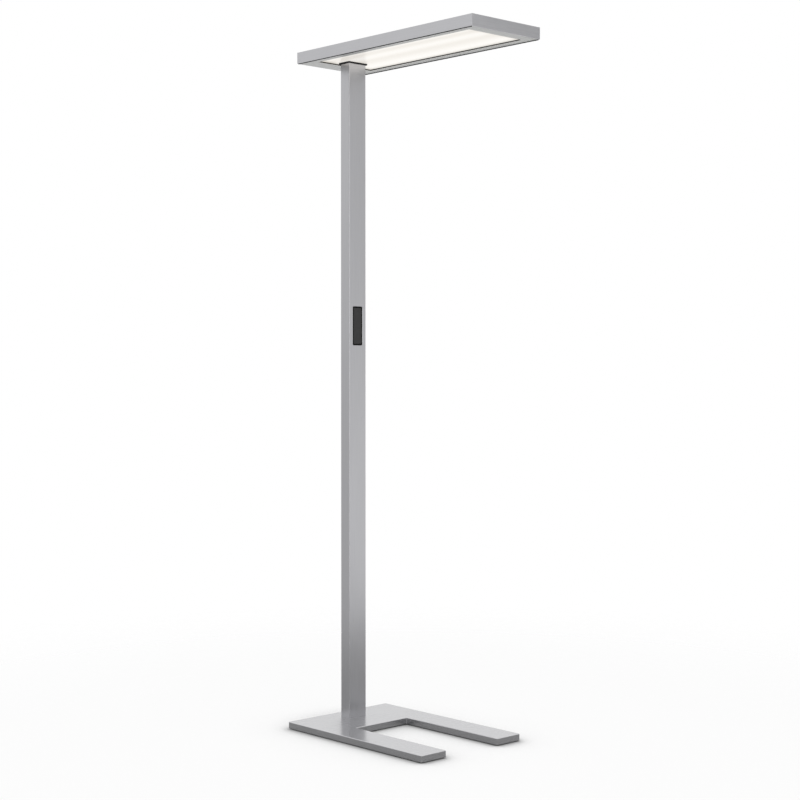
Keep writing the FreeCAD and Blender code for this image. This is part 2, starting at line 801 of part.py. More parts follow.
def drill_top_web(body):
    # thread holes for the cover screws over the key chamber
    spots = new_sketch(body, "XY_Plane", "head_height")
    circle(spots, cover_screw_x, "rail_wall + key_chamber_width / 2",
           "cover_screw_diameter + thread_clearance")
    hole = cut(body, spots, "cover_thickness + rail_web + cut_overrun")
    repeat(body, hole, spots, cover_screw_span, "cover_screw_count")


bracket_screw_x = "(-head_length / 2 + bracket_screw_inset)"
tray_screw_x = f"({tray_rear} + tray_screw_rear_inset)"
tray_screw_span = f"({tray_front} - tray_screw_front_inset - {tray_screw_x})"
ledge_rows = ((bracket_screw_x, "bracket_screw_span", "bracket_screw_count"),
              (tray_screw_x, tray_screw_span, "tray_screw_count"))


def make_rails():
    right = make_rail("right_rail", "head_length", "0", "-head_width / 2", 0)
    left = make_rail("left_rail", "head_length", "0", "head_width / 2", 180)
    make_rail("front_rail", "head_width", "head_length / 2", "0", 90)
    make_rail("rear_rail", "head_width", "-head_length / 2", "0", -90)
    for first, span, count in ledge_rows:
        drill_ledge(right, first, span, count)
        # the left rail is turned half round, so its own X runs to the rear
        drill_ledge(left, f"-({first} + {span})", span, count)
    drill_top_web(right)
    drill_top_web(left)


def make_corner_keys():
    corners = (("front_right", "head_length / 2", "-head_width / 2", 90),
               ("front_left", "head_length / 2", "head_width / 2", 180),
               ("rear_left", "-head_length / 2", "head_width / 2", 270),
               ("rear_right", "-head_length / 2", "-head_width / 2", 0))
    low = "(rail_wall + key_fit)"
    high = "(rail_wall + key_chamber_width - key_fit)"
    tip = "(rail_wall + key_leg)"
    for corner, x, y, angle in corners:
        body = new_body(f"corner_key_{corner}")
        turn(body, FreeCAD.Vector(0, 0, 1), angle)
        place(body, x, y, f"{ledge_top} + key_fit")
        plan = new_sketch(body, "XY_Plane")
        outline(plan, [(low, low), (tip, low), (tip, high), (high, high), (high, tip), (low, tip)])
        pad(body, plan, "head_height - cover_thickness - ledge_level - 2 * rail_web - 2 * key_fit")


def make_head_bracket():
    body = new_body("head_bracket")
    place(body, "0", "0", ledge_top)
    rear = f"(-{tray_front})"
    plan = new_sketch(body, "XY_Plane")
    rectangle(plan, rear, f"-{plate_half_width}", bracket_front, plate_half_width)
    pad(body, plan, "bracket_thickness")
    spigot = new_sketch(body, "XY_Plane")
    centred_rectangle(spigot, "column_depth - 2 * column_wall - 2 * spigot_clearance",
                      "column_width - 2 * column_wall - 2 * port_block - 2 * spigot_clearance",
                      column_x)
    pad(body, spigot, "spigot_length", back=True)
    bore = new_sketch(body, "XY_Plane")
    margin = "2 * (spigot_clearance + spigot_wall)"
    centred_rectangle(bore, f"column_depth - 2 * column_wall - {margin}",
                      f"column_width - 2 * column_wall - 2 * port_block - {margin}", column_x)
    cut(body, bore)
    ports = new_sketch(body, "XY_Plane")
    circle(ports, f"{column_x} - {port_x}", f"-{port_y}", "port_screw_diameter + hole_clearance")
    port = cut(body, ports)
    repeat(body, port, ports, f"2 * {port_x}", "2", f"2 * {port_y}", "2")
    screws = new_sketch(body, "XY_Plane")
    circle(screws, bracket_screw_x, f"-head_width / 2 + {ledge_middle}",
           "head_screw_diameter + hole_clearance")
    screw = cut(body, screws)
    repeat(body, screw, screws, "bracket_screw_span", "bracket_screw_count",
           f"head_width - 2 * {ledge_middle}", "2")


def make_gear_tray():
    body = new_body("gear_tray")
    place(body, "0", "0", ledge_top)
    plan = new_sketch(body, "XY_Plane")
    rectangle(plan, tray_rear, f"-{plate_half_width}", tray_front, plate_half_width)
    pad(body, plan, "tray_thickness")
    screws = new_sketch(body, "XY_Plane")
    circle(screws, tray_screw_x, f"-head_width / 2 + {ledge_middle}",
           "head_screw_diameter + hole_clearance")
    screw = cut(body, screws)
    repeat(body, screw, screws, tray_screw_span, "tray_screw_count",
           f"head_width - 2 * {ledge_middle}", "2")
    slot = new_sketch(body, "XY_Plane")
    centred_rectangle(slot, "ribbon_width + 2 * ribbon_slot_margin",
                      "ribbon_thickness + 2 * ribbon_slot_margin", ribbon_x)
    cut(body, slot)
    fixing = new_sketch(body, "XY_Plane")
    circle(fixing, f"{driver_rear} - driver_ear_length / 2", "0",
           "driver_screw_diameter + thread_clearance")
    tapped = cut(body, fixing)
    repeat(body, tapped, fixing, "driver_length + driver_ear_length", "2")


def add_chips(body, start, length, width_axis, level, back):
    # a row of light chips along a board
    chips = new_sketch(body, "XY_Plane", level)
    centred_rectangle(chips, "chip_length", "chip_width", f"({start} + chip_margin)", width_axis)
    chip = pad(body, chips, "chip_height", back=back)
    repeat(body, chip, chips, f"{length} - 2 * chip_margin", "chip_count")


def make_light_boards():
    front = "(head_length / 2 - down_board_front_inset)"
    side_rear = "(-head_length / 2 + down_board_rear_inset)"
    middle_rear = f"({column_x} + column_depth / 2 + collar_flange + down_board_column_gap)"
    rows = (("down_board_right", side_rear, "-down_board_pitch"),
            ("down_board_middle", middle_rear, "0"),
            ("down_board_left", side_rear, "down_board_pitch"))
    for label, rear, side in rows:
        body = new_body(label)
        place(body, rear, side, f"{ledge_top} - light_board_thickness")
        plan = new_sketch(body, "XY_Plane")
        length = f"({front} - {rear})"
        rectangle(plan, "0", "-down_board_width / 2", length, "down_board_width / 2")
        pad(body, plan, "light_board_thickness")
        add_chips(body, "0", length, "0", "0", True)
    rear = f"({tray_rear} + up_board_inset)"
    for label, side in (("up_board_right", "-up_board_pitch / 2"), ("up_board_left", "up_board_pitch / 2")):
        body = new_body(label)
        place(body, rear, side, f"{ledge_top} + tray_thickness")
        plan = new_sketch(body, "XY_Plane")
        length = f"({tray_front} - up_board_inset - {rear})"
        rectangle(plan, "0", "-up_board_width / 2", length, "up_board_width / 2")
        pad(body, plan, "light_board_thickness")
        add_chips(body, "0", length, "0", "light_board_thickness", False)


def make_led_driver():
    body = new_body("led_driver")
    place(body, driver_rear, "0", f"{ledge_top} + tray_thickness")
    plan = new_sketch(body, "XY_Plane")
    rectangle(plan, "0", "-driver_width / 2", "driver_length", "driver_width / 2")
    case = pad(body, plan, "driver_height")
    body.Tip = round_edges(body, case, lambda edge: runs_along(edge, FreeCAD.Vector(0, 0, 1)),
                           "driver_corner_radius")
    for low, high in (("-driver_ear_length", "0"), ("driver_length", "driver_length + driver_ear_length")):
        ear = new_sketch(body, "XY_Plane")
        rectangle(ear, low, "-driver_ear_width / 2", high, "driver_ear_width / 2")
        pad(body, ear, "driver_ear_thickness")
    fixing = new_sketch(body, "XY_Plane")
    circle(fixing, "-driver_ear_length / 2", "0", "driver_screw_diameter + hole_clearance")
    hole = cut(body, fixing)
    repeat(body, hole, fixing, "driver_length + driver_ear_length", "2")


terminal_front = f"(-{tray_front} + terminal_rear_gap + terminal_length)"


def make_terminal_block():
    body = new_body("terminal_block")
    place(body, f"{terminal_front} - terminal_length", "0", f"{ledge_top} + bracket_thickness")
    plan = new_sketch(body, "XY_Plane")
    rectangle(plan, "0", "-terminal_width / 2", "terminal_length", "terminal_width / 2")
    pad(body, plan, "terminal_height")
    ways = new_sketch(body, "XY_Plane", "terminal_height")
    circle(ways, "terminal_length / 2", "-terminal_way_pitch", "terminal_way_diameter")
    way = cut(body, ways, "terminal_way_depth")
    repeat(body, way, ways, "0", "1", "2 * terminal_way_pitch", "3")


def ring(label, outer_gap, inner_gap, low, high):
    # a flat ring that follows the lit opening, by its distances outside the lip's edge
    def around_opening(name, gap, bottom, top):
        return spanned(name, f"-head_length / 2 + lip_rear - {gap}", f"head_length / 2 - lip_front + {gap}",
                       f"head_width / 2 - lip_side + {gap}", bottom, top)
    outer = around_opening(f"{label}_outer", outer_gap, low, high)
    inner = around_opening(f"{label}_inner", inner_gap, f"{low} - cut_overrun", f"{high} + cut_overrun")
    return less(label, outer, inner)


def make_diffuser_frame():
    # folded sheet frame: wide lip below, upright wall, foot under the rails' ledges
    inset = "(rail_wall + shadow_gap)"
    top = f"({head_bottom} + ledge_level)"
    outside = spanned("frame_outside", f"-head_length / 2 + {inset}", f"head_length / 2 - {inset}",
                      f"head_width / 2 - {inset}", head_bottom, top)
    skin = f"({inset} + frame_sheet)"
    inside = spanned("frame_inside", f"-head_length / 2 + {skin}", f"head_length / 2 - {skin}",
                     f"head_width / 2 - {skin}", f"{head_bottom} + frame_sheet", f"{top} - frame_sheet")
    lit = spanned("frame_lit_opening", "-head_length / 2 + lip_rear", "head_length / 2 - lip_front",
                  "head_width / 2 - lip_side", f"{head_bottom} - frame_sheet",
                  f"{head_bottom} + ledge_level / 2")
    foot = spanned("frame_foot_opening", "-head_length / 2 + lip_rear - seal_width",
                   "head_length / 2 - lip_front + seal_width", "head_width / 2 - lip_side + seal_width",
                   f"{head_bottom} + ledge_level / 2", f"{top} + frame_sheet")
    holes = []
    for row, (first, span, count) in enumerate(ledge_rows):
        for number in range(int(size(count))):
            for side in ("-", ""):
                drill = doc.addObject("Part::Cylinder", f"frame_hole_{row}_{number}")
                bind(drill, "Radius", "(head_screw_diameter + thread_clearance) / 2")
                bind(drill, "Height", "3 * frame_sheet")
                place(drill, f"{first} + {span} * {number} / ({count} - 1)",
                      f"{side}(head_width / 2 - {ledge_middle})", f"{top} - 2 * frame_sheet")
                holes.append(drill)
    frame = less("diffuser_frame", outside, inside, lit, foot, fused("frame_holes", *holes))
    finish("diffuser_frame", frame)


def make_diffuser():
    lower = ring("pane_seal_lower", "seal_width", "0", f"({head_bottom} + frame_sheet)",
                 f"({head_bottom} + {pane_level})")
    finish("pane_seal_lower", lower)
    pane_top = f"({head_bottom} + {pane_level} + pane_thickness)"
    upper = ring("pane_seal_upper", "pane_bearing", "seal_width", pane_top,
                 f"({head_bottom} + ledge_level - frame_sheet)")
    finish("pane_seal_upper", upper)
    sheet_block = spanned("pane_sheet", "-head_length / 2 + lip_rear - pane_bearing",
                          "head_length / 2 - lip_front + pane_bearing",
                          "head_width / 2 - lip_side + pane_bearing",
                          f"({head_bottom} + {pane_level})", pane_top)
    around = "2 * (collar_fit + collar_neck + collar_fit)"
    passage = block("pane_passage", f"column_depth + {around}", f"column_width + {around}",
                    "3 * pane_thickness", column_x, "0",
                    f"{head_bottom} + {pane_level} - pane_thickness")
    finish("diffuser_pane", less("diffuser_pane", sheet_block, passage))


def make_column_collar():
    wide = "2 * (collar_fit + collar_flange)"
    narrow = "2 * (collar_fit + collar_neck)"
    flange = block("collar_rim", f"column_depth + {wide}", f"column_width + {wide}", pane_level,
                   column_x, "0", head_bottom)
    neck = block("collar_neck", f"column_depth + {narrow}", f"column_width + {narrow}",
                 f"{pane_level} + pane_thickness", column_x, "0", head_bottom)
    bore = block("collar_bore", "column_depth + 2 * collar_fit", "column_width + 2 * collar_fit",
                 f"2 * ({pane_level} + pane_thickness)", column_x, "0",
                 f"{head_bottom} - pane_thickness")
    finish("column_collar", less("column_collar", fused("collar", flange, neck), bore))


def make_top_cover():
    body = new_body("top_cover")
    place(body, "0", "0", "overall_height - cover_thickness")
    inset = "rail_wall + cover_fit"
    plan = new_sketch(body, "XY_Plane")
    centred_rectangle(plan, f"head_length - 2 * ({inset})", f"head_width - 2 * ({inset})")
    pad(body, plan, "cover_thickness")
    rear = "(-head_length / 2 + window_rear_inset)"
    front = "(head_length / 2 - window_front_inset)"
    windows = new_sketch(body, "XY_Plane")
    for side in ("-", ""):
        middle = f"{side}(up_board_pitch / 2)"
        rectangle(windows, rear, f"{middle} - window_width / 2", front, f"{middle} + window_width / 2")
    cut(body, windows)
    screws = new_sketch(body, "XY_Plane")
    row_y = "(head_width / 2 - rail_wall - key_chamber_width / 2)"
    circle(screws, cover_screw_x, f"-{row_y}", "cover_screw_diameter + hole_clearance")
    screw = cut(body, screws)
    holes = repeat(body, screw, screws, cover_screw_span, "cover_screw_count", f"2 * {row_y}", "2")
    top = size("cover_thickness")

    def top_rim(edge):
        return edge.Curve.TypeId == "Part::GeomCircle" and edge.BoundBox.ZMin > top - near
    body.Tip = bevel_edges(body, holes, top_rim,
                           "(cover_screw_head_diameter - cover_screw_diameter - hole_clearance) / 2")
    for side, label in (("-", "uplight_pane_right"), ("", "uplight_pane_left")):
        pane = doc.addObject("Part::Box", f"{label}_sheet")
        bind(pane, "Length", f"{front} - {rear} + 2 * up_pane_margin")
        bind(pane, "Width", "window_width + 2 * up_pane_margin")
        bind(pane, "Height", "up_pane_thickness")
        place(pane, f"{rear} - up_pane_margin",
              f"{side}(up_board_pitch / 2) - window_width / 2 - up_pane_margin",
              "overall_height - cover_thickness - up_pane_thickness")
        finish(label, pane)


# screws and bolts


def make_screws(label, shank, head, head_height, length, first, spans, counts, plane="XY_Plane"):
    # a grid of screws that point down the plane's normal, head outside the plane
    body = new_body(label)
    body.AllowCompound = True
    across, up = first
    stem = new_sketch(body, plane)
    circle(stem, across, up, shank)
    stem_pad = pad(body, stem, length, back=True)
    repeat(body, stem_pad, stem, spans[0], counts[0], spans[1], counts[1])
    cap = new_sketch(body, plane)
    circle(cap, across, up, head)
    cap_pad = pad(body, cap, head_height)
    repeat(body, cap_pad, cap, spans[0], counts[0], spans[1], counts[1])
    return body


def make_sunk_screws(label, shank, head, length, first, spans, counts, plane="XY_Plane"):
    # a grid of countersunk screws, heads flush with the plane
    body = new_body(label)
    body.AllowCompound = True
    across, up = first
    depth = f"(({head}) - ({shank})) / 2"
    stem = new_sketch(body, plane)
    circle(stem, across, up, shank)
    stem_pad = pad(body, stem, length, back=True)
    repeat(body, stem_pad, stem, spans[0], counts[0], spans[1], counts[1])
    cap = new_sketch(body, plane)
    circle(cap, across, up, head)
    cone = pad(body, cap, depth, back=True)
    cone.TaperAngle = -45
    repeat(body, cone, cap, spans[0], counts[0], spans[1], counts[1])
    return body


def make_fasteners():
    bolts = make_screws("base_bolts", "base_bolt_diameter", "base_bolt_head_diameter",
                        "base_bolt_head_height", "base_bolt_length",
                        ("-base_bolt_pitch_x / 2", "-base_bolt_pitch_y / 2"),
                        ("base_bolt_pitch_x", "base_bolt_pitch_y"), ("2", "2"))
    turn(bolts, FreeCAD.Vector(1, 0, 0), 180)
    place(bolts, column_x, "0", "glide_standoff + bolt_recess + base_bolt_head_height")

    clamps = make_sunk_screws("foot_screws", "foot_screw_diameter", "foot_screw_head_diameter",
                              "foot_screw_length", ("0", "foot_screw_level"), ("0", "foot_screw_pitch"),
                              ("1", "2"), plane="YZ_Plane")
    turn(clamps, FreeCAD.Vector(0, 0, 1), 180)
    place(clamps, f"{column_x} - column_depth / 2", "0", base_top)

    inlet = make_sunk_screws("inlet_screws", "inlet_screw_diameter", "inlet_screw_head_diameter",
                             "inlet_screw_length", ("-inlet_screw_pitch / 2", "0"),
                             ("inlet_screw_pitch", "0"), ("2", "1"), plane="YZ_Plane")
    turn(inlet, FreeCAD.Vector(0, 0, 1), 180)
    place(inlet, f"{column_x} - column_depth / 2 - inlet_flange_thickness", "0", "inlet_level")

    board = make_screws("board_screws", "board_screw_diameter", "board_screw_head_diameter",
                        "board_screw_head_height", "board_screw_length",
                        ("0", "-board_screw_pitch / 2"), ("0", "board_screw_pitch"), ("1", "2"),
                        plane="YZ_Plane")
    place(board, f"{panel_x} - board_depth + board_thickness", "0", "panel_level")

    ports = make_screws("column_top_screws", "port_screw_diameter", "port_screw_head_diameter",
                        "port_screw_head_height", "port_screw_length", (f"-{port_x}", f"-{port_y}"),
                        (f"2 * {port_x}", f"2 * {port_y}"), ("2", "2"))
    place(ports, column_x, "0", f"{ledge_top} + bracket_thickness")

    row_y = f"-(head_width / 2 - {ledge_middle})"
    row_gap = f"2 * (head_width / 2 - {ledge_middle})"
    stack = "rail_web + frame_sheet + head_screw_tail"
    bracket = make_screws("bracket_screws", "head_screw_diameter", "head_screw_head_diameter",
                          "head_screw_head_height", f"bracket_thickness + {stack}",
                          (bracket_screw_x, row_y), ("bracket_screw_span", row_gap),
                          ("bracket_screw_count", "2"))
    place(bracket, "0", "0", f"{ledge_top} + bracket_thickness")
    tray = make_screws("tray_screws", "head_screw_diameter", "head_screw_head_diameter",
                       "head_screw_head_height", f"tray_thickness + {stack}",
                       (tray_screw_x, row_y), (tray_screw_span, row_gap), ("tray_screw_count", "2"))
    place(tray, "0", "0", f"{ledge_top} + tray_thickness")

    driver = make_screws("driver_screws", "driver_screw_diameter", "driver_screw_head_diameter",
                         "driver_screw_head_height", "driver_ear_thickness + tray_thickness",
                         ("-driver_ear_length / 2", "0"),
                         ("driver_length + driver_ear_length", "0"), ("2", "1"))
    place(driver, driver_rear, "0", f"{ledge_top} + tray_thickness + driver_ear_thickness")

    edge_y = "(head_width / 2 - rail_wall - key_chamber_width / 2)"
    cover = make_sunk_screws("cover_screws", "cover_screw_diameter", "cover_screw_head_diameter",
                             "cover_screw_length", (cover_screw_x, f"-{edge_y}"),
                             (cover_screw_span, f"2 * {edge_y}"), ("cover_screw_count", "2"))
    place(cover, "0", "0", "overall_height")


# leads inside the lamp


def lead_solid(points, bend, diameter):
    # straight runs joined by tangent arcs, swept with a round section
    spots = [FreeCAD.Vector(*point) for point in points]
    edges = []
    start = spots[0]
    for before, corner, after in zip(spots, spots[1:], spots[2:]):
        back = (before - corner).normalize()
        ahead = (after - corner).normalize()
        half_turn = (math.pi - back.getAngle(ahead)) / 2
        run = bend * math.tan(half_turn)
        middle = corner + (back + ahead).normalize() * (bend / math.cos(half_turn) - bend)
        edges.append(Part.LineSegment(start, corner + back * run).toShape())
        edges.append(Part.Arc(corner + back * run, middle, corner + ahead * run).toShape())
        start = corner + ahead * run
    edges.append(Part.LineSegment(start, spots[-1]).toShape())
    section = Part.Wire(Part.Circle(spots[0], spots[1] - spots[0], diameter / 2).toShape())
    return Part.Wire(edges).makePipeShell([section], True, False)


def add_lead(label, solid):
    lead = doc.addObject("Part::Feature", f"{label}_run")
    lead.Shape = solid
    lead.Placement = FreeCAD.Placement()
    finish(label, lead)


def make_leads():
    axis = size("rear_overhang") - size("head_length") / 2
    run_level = size("overall_height") - size("head_height") + size("lead_run_level")
    driver_back = axis + size("bracket_front_reach") + size("tray_gap") + size("driver_rear_gap")
    rail_inside = size("rail_wall") + size("key_chamber_width") + size("rail_web") + size("plate_fit")
    terminal = -size("head_length") / 2 + rail_inside + size("terminal_rear_gap") + size("terminal_length")
    thick = size("mains_lead_diameter")
    bend = size("mains_lead_bend")

    # from the inlet's blades straight up the column, over the bracket to the terminals
    tail = axis - size("column_depth") / 2 + size("inlet_body_depth") + size("blade_tail")
    riser = tail - thick / 2 - size("mains_lead_gap")
    blade_top = (size("inlet_level") - size("blade_drop") + size("earth_blade_rise")
                 + size("blade_height") / 2)
    mains = [(riser, 0, blade_top), (riser, 0, run_level), (terminal, 0, run_level)]
    add_lead("mains_lead", lead_solid(mains, bend, thick))

    # from the control board's back up the column to the driver
    side = size("control_lead_side")
    board = axis + size("column_depth") / 2 - size("board_depth")
    outlet = size("panel_level") + size("control_lead_rise")
    case_back = axis + size("column_depth") / 2 - size("bezel_depth")
    drop = case_back - size("control_lead_bend") - size("control_lead_stub")
    control = [(board, side, outlet), (drop, side, outlet), (drop, side, run_level),
               (driver_back, side, run_level)]
    add_lead("control_lead", lead_solid(control, size("control_lead_bend"), size("control_lead_diameter")))

    supply = [(terminal, -side, run_level), (driver_back, -side, run_level)]
    add_lead("driver_lead", lead_solid(supply, bend, thick))


def make_ribbons():
    # flat jumpers between the driver and the light boards
    body = new_body("board_leads")
    body.AllowCompound = True
    place(body, ribbon_x, "0", ledge_top)
    drop = new_sketch(body, "XY_Plane")
    centred_rectangle(drop, "ribbon_width", "ribbon_thickness")
    pad(body, drop, "tray_thickness")
    across = new_sketch(body, "XY_Plane", "tray_thickness")
    near_end = "driver_width / 2"
    far_end = "(up_board_pitch / 2 - up_board_width / 2)"
    rectangle(across, "-ribbon_width / 2", near_end, "ribbon_width / 2", far_end)
    rectangle(across, "-ribbon_width / 2", f"-{far_end}", "ribbon_width / 2", f"-{near_end}")
    pad(body, across, "ribbon_thickness")

    links = new_body("board_links")
    links.AllowCompound = True
    place(links, "head_length / 2 - down_board_front_inset - ribbon_width", "0", ledge_top)
    under = new_sketch(links, "XY_Plane")
    near_side = "down_board_width / 2"
    far_side = "(down_board_pitch - down_board_width / 2)"
    rectangle(under, "-ribbon_width / 2", near_side, "ribbon_width / 2", far_side)
    rectangle(under, "-ribbon_width / 2", f"-{far_side}", "ribbon_width / 2", f"-{near_side}")
    pad(links, under, "ribbon_thickness", back=True)


# the whole lamp, checked and written out


make_base_plate()
make_base_glides()
make_column_foot()
make_column_profile()
make_mains_inlet()
make_inlet_blades()
make_control_bezel()
make_dimmer_rocker()
make_rocker_pin()
make_control_board()
make_switch_mat()
make_rails()
make_corner_keys()
make_head_bracket()
make_gear_tray()
make_light_boards()
make_led_driver()
make_terminal_block()
make_diffuser_frame()
make_diffuser()
make_column_collar()
make_top_cover()
make_fasteners()
make_leads()
make_ribbons()

doc.recompute()
for item in doc.Objects:
    if "Invalid" in item.State or "Error" in item.State:
        raise RuntimeError(f"{item.Label} failed: {item.State}")
for part in parts:
    if part.Shape.isNull() or not part.Shape.isValid():
        raise RuntimeError(f"{part.Label} has no sound shape")

os.makedirs("parts", exist_ok=True)
for part in parts:
    part.Shape.exportStep(f"parts/{part.Label}.step")
    print(part.Label, len(part.Shape.Solids), round(part.Shape.Volume, 1))
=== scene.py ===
import math

import bpy
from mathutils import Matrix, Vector


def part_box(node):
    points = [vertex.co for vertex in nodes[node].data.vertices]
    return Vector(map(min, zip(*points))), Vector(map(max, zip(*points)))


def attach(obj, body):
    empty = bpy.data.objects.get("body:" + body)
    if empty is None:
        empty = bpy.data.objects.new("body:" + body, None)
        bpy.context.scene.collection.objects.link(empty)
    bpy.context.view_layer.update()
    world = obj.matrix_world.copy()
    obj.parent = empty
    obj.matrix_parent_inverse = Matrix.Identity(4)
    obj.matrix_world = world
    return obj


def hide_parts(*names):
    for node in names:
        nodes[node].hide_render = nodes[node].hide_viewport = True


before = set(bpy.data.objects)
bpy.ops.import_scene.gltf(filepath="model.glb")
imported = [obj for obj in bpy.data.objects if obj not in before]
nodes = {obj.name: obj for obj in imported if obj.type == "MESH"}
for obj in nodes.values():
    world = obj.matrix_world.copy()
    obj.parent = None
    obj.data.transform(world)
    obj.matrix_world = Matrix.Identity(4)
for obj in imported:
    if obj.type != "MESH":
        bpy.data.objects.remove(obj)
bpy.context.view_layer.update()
print("frame loaded:", len(nodes), "nodes")


# an sRGB hex colour turned to the linear values that Blender works in
def fromHex(hexColour):
    channels = [int(hexColour[i:i + 2], 16) / 255 for i in (1, 3, 5)]
    linear = [c / 12.92 if c <= 0.04045 else ((c + 0.055) / 1.055) ** 2.4 for c in channels]
    return (*linear, 1.0)


# adds one node with its settings, its own values and its links
def addNode(tree, kind, settings=None, values=None, links=None):
    node = tree.nodes.new(kind)
    for name, value in (settings or {}).items():
        setattr(node, name, value)
    for name, value in (values or {}).items():
        node.inputs[name].default_value = value
    for name, source in (links or {}).items():
        tree.links.new(source, node.inputs[name])
    return node


def newMaterial(name):
    material = bpy.data.materials.new(name)
    material.use_nodes = True
    material.node_tree.nodes.clear()
    return material, material.node_tree


# noise on object coordinates, stretched to a grain of the given real sizes in millimetres
def grainNoise(tree, sizeMm, detail=3.0):
    place = addNode(tree, "ShaderNodeTexCoord")
    scale = tuple(1000 / size for size in sizeMm)
    mapped = addNode(tree, "ShaderNodeMapping", values={"Scale": scale},
                     links={"Vector": place.outputs["Object"]})
    return addNode(tree, "ShaderNodeTexNoise", values={"Scale": 1.0, "Detail": detail, "Roughness": 0.6},
                   links={"Vector": mapped.outputs["Vector"]})


def spread(tree, source, low, high):
    return addNode(tree, "ShaderNodeMapRange",
                   values={"From Min": 0.25, "From Max": 0.75, "To Min": low, "To Max": high},
                   links={"Value": source})


def finishMaterial(tree, shader):
    addNode(tree, "ShaderNodeOutputMaterial", links={"Surface": shader.outputs[0]})


# a metal with a directional finish: the grain runs along one axis, a soft cloud breaks up large faces, and
# highlights stretch across the grain
def grainedMetal(name, look):
    material, tree = newMaterial(name)
    lines = grainNoise(tree, look["grainMm"])
    cloud = grainNoise(tree, look["cloudMm"], detail=1.0)
    colour = addNode(tree, "ShaderNodeMix", settings={"data_type": "RGBA"},
                     values={6: fromHex(look["dark"]), 7: fromHex(look["light"])},
                     links={0: spread(tree, lines.outputs["Fac"], 0.0, 1.0).outputs["Result"]})
    low, high = look["roughness"]
    rough = addNode(tree, "ShaderNodeMath", settings={"operation": "ADD"},
                    links={0: spread(tree, lines.outputs["Fac"], low, high).outputs["Result"],
                           1: spread(tree, cloud.outputs["Fac"], -look["cloudRoughness"],
                                     look["cloudRoughness"]).outputs["Result"]})
    bump = addNode(tree, "ShaderNodeBump",
                   values={"Strength": look["bump"], "Distance": look["reliefMm"] / 1000},
                   links={"Height": lines.outputs["Fac"]})
    facing = addNode(tree, "ShaderNodeNewGeometry")
    across = addNode(tree, "ShaderNodeVectorMath", settings={"operation": "CROSS_PRODUCT"},
                     values={1: look["grainAxis"]}, links={0: facing.outputs["Normal"]})
    # a small push keeps the direction defined on faces square to the grain
    stretch = addNode(tree, "ShaderNodeVectorMath", settings={"operation": "ADD"},
                      values={1: (0.01, 0.02, 0.03)}, links={0: across.outputs["Vector"]})
    shader = addNode(tree, "ShaderNodeBsdfPrincipled",
                     values={"Metallic": 1.0, "Anisotropic": look["stretch"]},
                     links={"Base Color": colour.outputs[2], "Roughness": rough.outputs[0],
                            "Normal": bump.outputs["Normal"], "Tangent": stretch.outputs["Vector"]})
    finishMaterial(tree, shader)
    return material


# Stainless plate, brushed across the prongs: grit lines of about 0.1 mm, drawn 1.2 mm wide so that they show.
steelLook = {"dark": "#B4B4B6", "light": "#C4C4C6", "grainMm": (1.2, 70, 1.2), "grainAxis": (0, 1, 0),
             "cloudMm": (90, 160, 90), "roughness": (0.2, 0.3), "cloudRoughness": 0.03, "stretch": 0.5,
             "bump": 0.25, "reliefMm": 0.05}
# Anodised aluminium: fine pitted silver with faint die lines along each extrusion, drawn 0.9 mm wide.
anodisedLook = {"dark": "#C3C3C6", "light": "#CCCCCF", "cloudMm": (60, 60, 220), "roughness": (0.28, 0.36),
                "cloudRoughness": 0.02, "stretch": 0.7, "bump": 0.2, "reliefMm": 0.03}
# Zinc-plated steel: pale grey with soft cloudy spangle of about 8 mm.
zincLook = {"dark": "#A9AAA8", "light": "#BDBEBB", "grainMm": (8, 8, 8), "grainAxis": (1, 0, 0),
            "cloudMm": (30, 30, 30), "roughness": (0.3, 0.42), "cloudRoughness": 0.03, "stretch": 0.0,
            "bump": 0.1, "reliefMm": 0.02}
# Nickel-plated brass of the blades: warm grey, lightly polished along the blade.
nickelLook = {"dark": "#BDB7A8", "light": "#CDC8BA", "grainMm": (12, 0.4, 0.4), "grainAxis": (1, 0, 0),
              "cloudMm": (10, 10, 10), "roughness": (0.2, 0.3), "cloudRoughness": 0.02, "stretch": 0.3,
              "bump": 0.1, "reliefMm": 0.01}


# a moulded surface: spark-eroded grain in the bump, a faint mottling in the colour
def mouldedPlastic(name, look):
    material, tree = newMaterial(name)
    grain = grainNoise(tree, (look["grainMm"],) * 3)
    mottle = grainNoise(tree, (look["mottleMm"],) * 3, detail=1.0)
    colour = addNode(tree, "ShaderNodeMix", settings={"data_type": "RGBA"},
                     values={6: fromHex(look["dark"]), 7: fromHex(look["light"])},
                     links={0: spread(tree, mottle.outputs["Fac"], 0.0, 1.0).outputs["Result"]})
    low, high = look["roughness"]
    bump = addNode(tree, "ShaderNodeBump",
                   values={"Strength": look["bump"], "Distance": look["reliefMm"] / 1000},
                   links={"Height": grain.outputs["Fac"]})
    shader = addNode(tree, "ShaderNodeBsdfPrincipled",
                     values={"IOR": look["ior"], "Specular IOR Level": look["specular"]},
                     links={"Base Color": colour.outputs[2], "Normal": bump.outputs["Normal"],
                            "Roughness": spread(tree, grain.outputs["Fac"], low, high).outputs["Result"]})
    finishMaterial(tree, shader)
    return material


